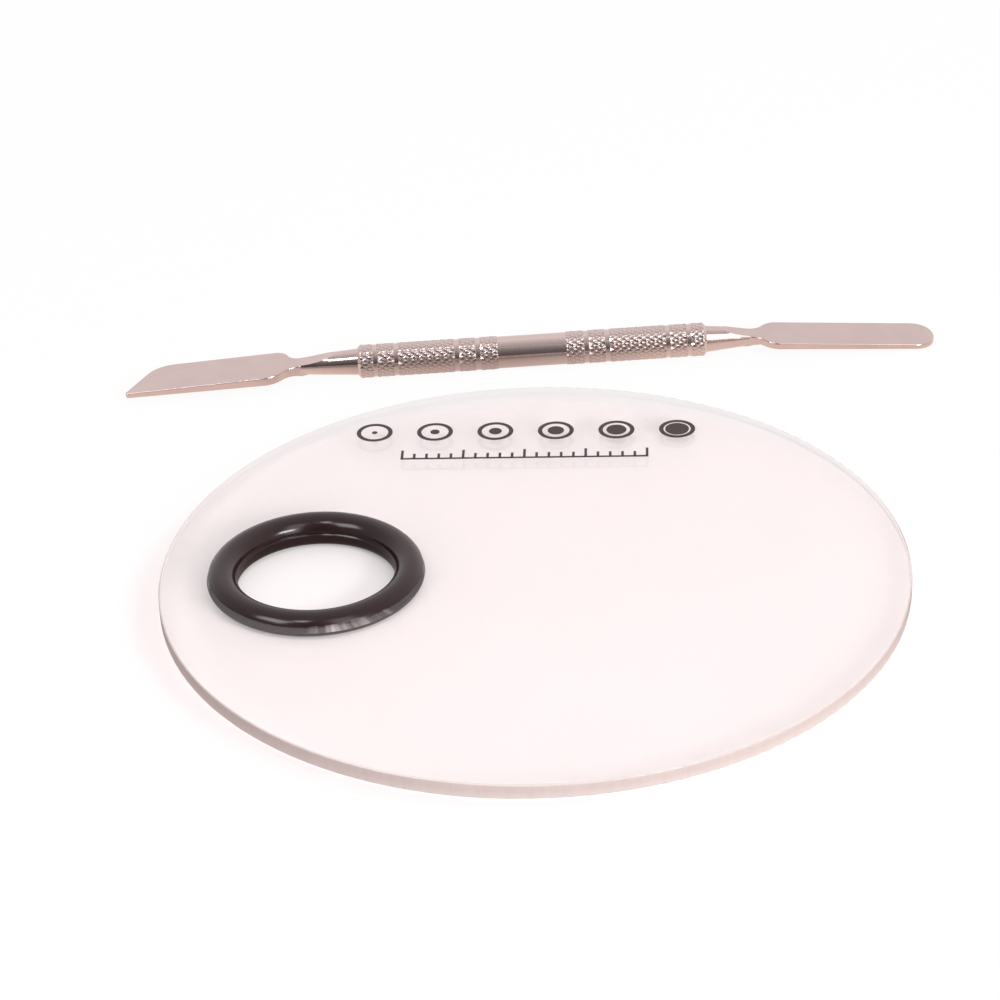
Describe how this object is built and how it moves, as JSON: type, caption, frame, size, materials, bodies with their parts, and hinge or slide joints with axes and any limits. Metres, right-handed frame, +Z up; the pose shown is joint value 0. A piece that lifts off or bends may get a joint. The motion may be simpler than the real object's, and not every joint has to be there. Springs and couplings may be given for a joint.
{
  "type": "mixing palette and spatula set",
  "caption": "Clear round mixing plate with a black finger ring set in a hole near its rim, and a double-ended steel spatula with a knurled handle lying behind it.",
  "frame": {"origin": "on the table, under the middle of the set's footprint", "axes": "+X from the finger ring's centre towards the plate's centre, +Y from the plate to the spatula, +Z up from the table"},
  "size_m": [0.145, 0.1444, 0.006],
  "materials": {
    "clear_acrylic": "clear cast acrylic sheet with polished faces and edge",
    "black_plastic": "moulded black plastic, glossy",
    "knurled_steel": "turned stainless steel with a rolled diamond knurl",
    "satin_steel": "forged and satin-polished stainless steel"
  },
  "bodies": {
    "palette": {"palette_plate": "clear_acrylic", "finger_ring_upper": "black_plastic", "finger_ring_lower": "black_plastic"},
    "spatula": {"spatula_handle": "knurled_steel", "spatula_angled_blade": "satin_steel", "spatula_round_blade": "satin_steel"}
  },
  "joints": [
    {"name": "spatula_lift", "type": "slide", "parent": "palette", "child": "spatula", "axis": [0, 0, 1], "range_m": [0, 0.08]}
  ]
}
